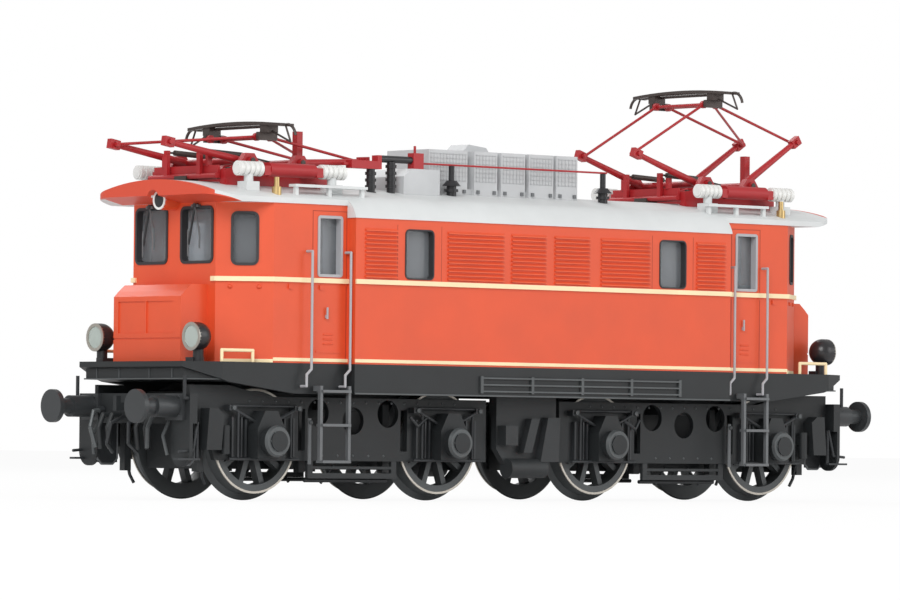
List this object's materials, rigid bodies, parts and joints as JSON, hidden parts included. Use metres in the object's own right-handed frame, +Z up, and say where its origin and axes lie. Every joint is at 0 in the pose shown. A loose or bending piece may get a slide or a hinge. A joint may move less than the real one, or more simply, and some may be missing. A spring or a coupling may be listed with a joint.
{
  "type": "model electric locomotive",
  "caption": "Scale model of a heavy electric locomotive: cabs at both ends, low end hoods, roof gear, turning bogies with spoked wheels and two folding pantographs.",
  "frame": {"origin": "bottom centre of the bounding box; Z = 0 is the bottom of the wheel flanges", "axes": "+X along the length towards end B, +Y across, +Z up; the camera's near side is -Y"},
  "size_m": [0.1484, 0.0344, 0.0654],
  "materials": {
    "body_red": "satin",
    "cream": "satin",
    "roof_grey": "satin",
    "frame_black": "matte",
    "dark_grey": "matte",
    "inner_grey": "matte",
    "motor_grey": "matte",
    "clear": "polished",
    "wheel_steel": "satin",
    "steel": "satin",
    "panto_red": "satin",
    "insulator_white": "gloss",
    "insulator_black": "gloss",
    "resistor_grey": "satin",
    "head_dark": "satin",
    "brass": "satin",
    "lamp_black": "satin"
  },
  "bodies": {
    "loco_body": {"body_shell": "body_red", "cab_interior_a": "inner_grey", "cab_interior_b": "inner_grey", "corridor_panels": "inner_grey", "door_handrails": "steel", "glazing": "clear", "grab_irons": "cream", "headlamps_a": "lamp_black", "headlamps_b": "lamp_black", "ladders": "steel", "lamp_lenses": "clear", "main_switch": "panto_red", "motor_block": "motor_grey", "panto_frame_a": "panto_red", "panto_frame_b": "panto_red", "panto_insulators": "insulator_white", "panto_pedestals": "roof_grey", "pipe_racks": "dark_grey", "post_insulators": "insulator_black", "resistor_housings": "resistor_grey", "roof": "roof_grey", "roof_conductor": "panto_red", "roof_walkways": "roof_grey", "top_lamps": "body_red", "underfloor_gear": "dark_grey", "underframe": "frame_black", "visor_a": "body_red", "visor_b": "body_red", "waist_rails": "cream", "whistles": "brass", "wipers": "lamp_black"},
    "lower_arm_left_a": {"lower_arm_left_a": "panto_red"},
    "lower_arm_right_a": {"lower_arm_right_a": "panto_red"},
    "upper_arm_left_a": {"upper_arm_left_a": "panto_red"},
    "upper_arm_right_a": {"upper_arm_right_a": "panto_red"},
    "collector_head_a": {"collector_head_a": "head_dark"},
    "lower_arm_left_b": {"lower_arm_left_b": "panto_red"},
    "lower_arm_right_b": {"lower_arm_right_b": "panto_red"},
    "upper_arm_left_b": {"upper_arm_left_b": "panto_red"},
    "upper_arm_right_b": {"upper_arm_right_b": "panto_red"},
    "collector_head_b": {"collector_head_b": "head_dark"},
    "bogie_a": {"bogie_frame_a": "frame_black", "buffers_a": "steel", "coupling_a": "frame_black", "brake_gear_a": "dark_grey"},
    "bogie_b": {"bogie_frame_b": "frame_black", "buffers_b": "steel", "coupling_b": "frame_black", "brake_gear_b": "dark_grey"},
    "wheelset_1": {"wheelset_1": "wheel_steel"},
    "wheelset_2": {"wheelset_2": "wheel_steel"},
    "wheelset_3": {"wheelset_3": "wheel_steel"},
    "wheelset_4": {"wheelset_4": "wheel_steel"}
  },
  "joints": [
    {"name": "panto_a_lower_arm_left", "type": "hinge", "parent": "loco_body", "child": "lower_arm_left_a", "pos_m": [-0.052, 0, 0.0502], "axis": [0, -1, 0], "range_deg": [-8.65, 0]},
    {"name": "panto_a_lower_arm_right", "type": "hinge", "parent": "loco_body", "child": "lower_arm_right_a", "pos_m": [-0.0424, 0, 0.0502], "axis": [0, -1, 0], "range_deg": [0, 29.2]},
    {"name": "panto_a_upper_arm_left", "type": "hinge", "parent": "lower_arm_left_a", "child": "upper_arm_left_a", "pos_m": [-0.06581, 0, 0.05249], "axis": [0, -1, 0], "range_deg": [0, 32.65]},
    {"name": "panto_a_upper_arm_right", "type": "hinge", "parent": "lower_arm_right_a", "child": "upper_arm_right_a", "pos_m": [-0.02842, 0, 0.05101], "axis": [0, -1, 0], "range_deg": [-37.01, 0]},
    {"name": "panto_a_collector_head", "type": "hinge", "parent": "upper_arm_left_a", "child": "collector_head_a", "pos_m": [-0.04832, 0, 0.05396], "axis": [0, -1, 0], "range_deg": [-24.05, 0]},
    {"name": "panto_b_lower_arm_left", "type": "hinge", "parent": "loco_body", "child": "lower_arm_left_b", "pos_m": [0.041, 0, 0.0502], "axis": [0, -1, 0], "range_deg": [0, 8.65]},
    {"name": "panto_b_lower_arm_right", "type": "hinge", "parent": "loco_body", "child": "lower_arm_right_b", "pos_m": [0.0506, 0, 0.0502], "axis": [0, -1, 0], "range_deg": [-29.2, 0]},
    {"name": "panto_b_upper_arm_left", "type": "hinge", "parent": "lower_arm_left_b", "child": "upper_arm_left_b", "pos_m": [0.02769, 0, 0.05453], "axis": [0, -1, 0], "range_deg": [-32.65, 0]},
    {"name": "panto_b_upper_arm_right", "type": "hinge", "parent": "lower_arm_right_b", "child": "upper_arm_right_b", "pos_m": [0.06241, 0, 0.05772], "axis": [0, -1, 0], "range_deg": [0, 37.01]},
    {"name": "panto_b_collector_head", "type": "hinge", "parent": "upper_arm_left_b", "child": "collector_head_b", "pos_m": [0.04306, 0, 0.06298], "axis": [0, -1, 0], "range_deg": [0, 24.05]},
    {"name": "bogie_yaw_a", "type": "hinge", "parent": "loco_body", "child": "bogie_a", "pos_m": [-0.0339, 0, 0.0185], "axis": [0, 0, 1], "range_deg": [-5, 5]},
    {"name": "bogie_yaw_b", "type": "hinge", "parent": "loco_body", "child": "bogie_b", "pos_m": [0.0339, 0, 0.0185], "axis": [0, 0, 1], "range_deg": [-5, 5]},
    {"name": "wheel_spin_1", "type": "hinge", "parent": "bogie_a", "child": "wheelset_1", "pos_m": [-0.0517, 0, 0.00875], "axis": [0, 1, 0], "continuous": true},
    {"name": "wheel_spin_2", "type": "hinge", "parent": "bogie_a", "child": "wheelset_2", "pos_m": [-0.0161, 0, 0.00875], "axis": [0, 1, 0], "continuous": true},
    {"name": "wheel_spin_3", "type": "hinge", "parent": "bogie_b", "child": "wheelset_3", "pos_m": [0.0161, 0, 0.00875], "axis": [0, 1, 0], "continuous": true},
    {"name": "wheel_spin_4", "type": "hinge", "parent": "bogie_b", "child": "wheelset_4", "pos_m": [0.0517, 0, 0.00875], "axis": [0, 1, 0], "continuous": true}
  ],
  "couplings": [
    {"joint": "panto_a_lower_arm_left", "follows": "panto_a_lower_arm_right", "ratio": -0.29452},
    {"joint": "panto_a_upper_arm_left", "follows": "panto_a_lower_arm_right", "ratio": 1.1165},
    {"joint": "panto_a_upper_arm_right", "follows": "panto_a_lower_arm_right", "ratio": -1.2659},
    {"joint": "panto_a_collector_head", "follows": "panto_a_lower_arm_right", "ratio": -0.82196},
    {"joint": "panto_b_lower_arm_left", "follows": "panto_b_lower_arm_right", "ratio": -0.29452},
    {"joint": "panto_b_upper_arm_left", "follows": "panto_b_lower_arm_right", "ratio": 1.1165},
    {"joint": "panto_b_upper_arm_right", "follows": "panto_b_lower_arm_right", "ratio": -1.2659},
    {"joint": "panto_b_collector_head", "follows": "panto_b_lower_arm_right", "ratio": -0.82196}
  ]
}
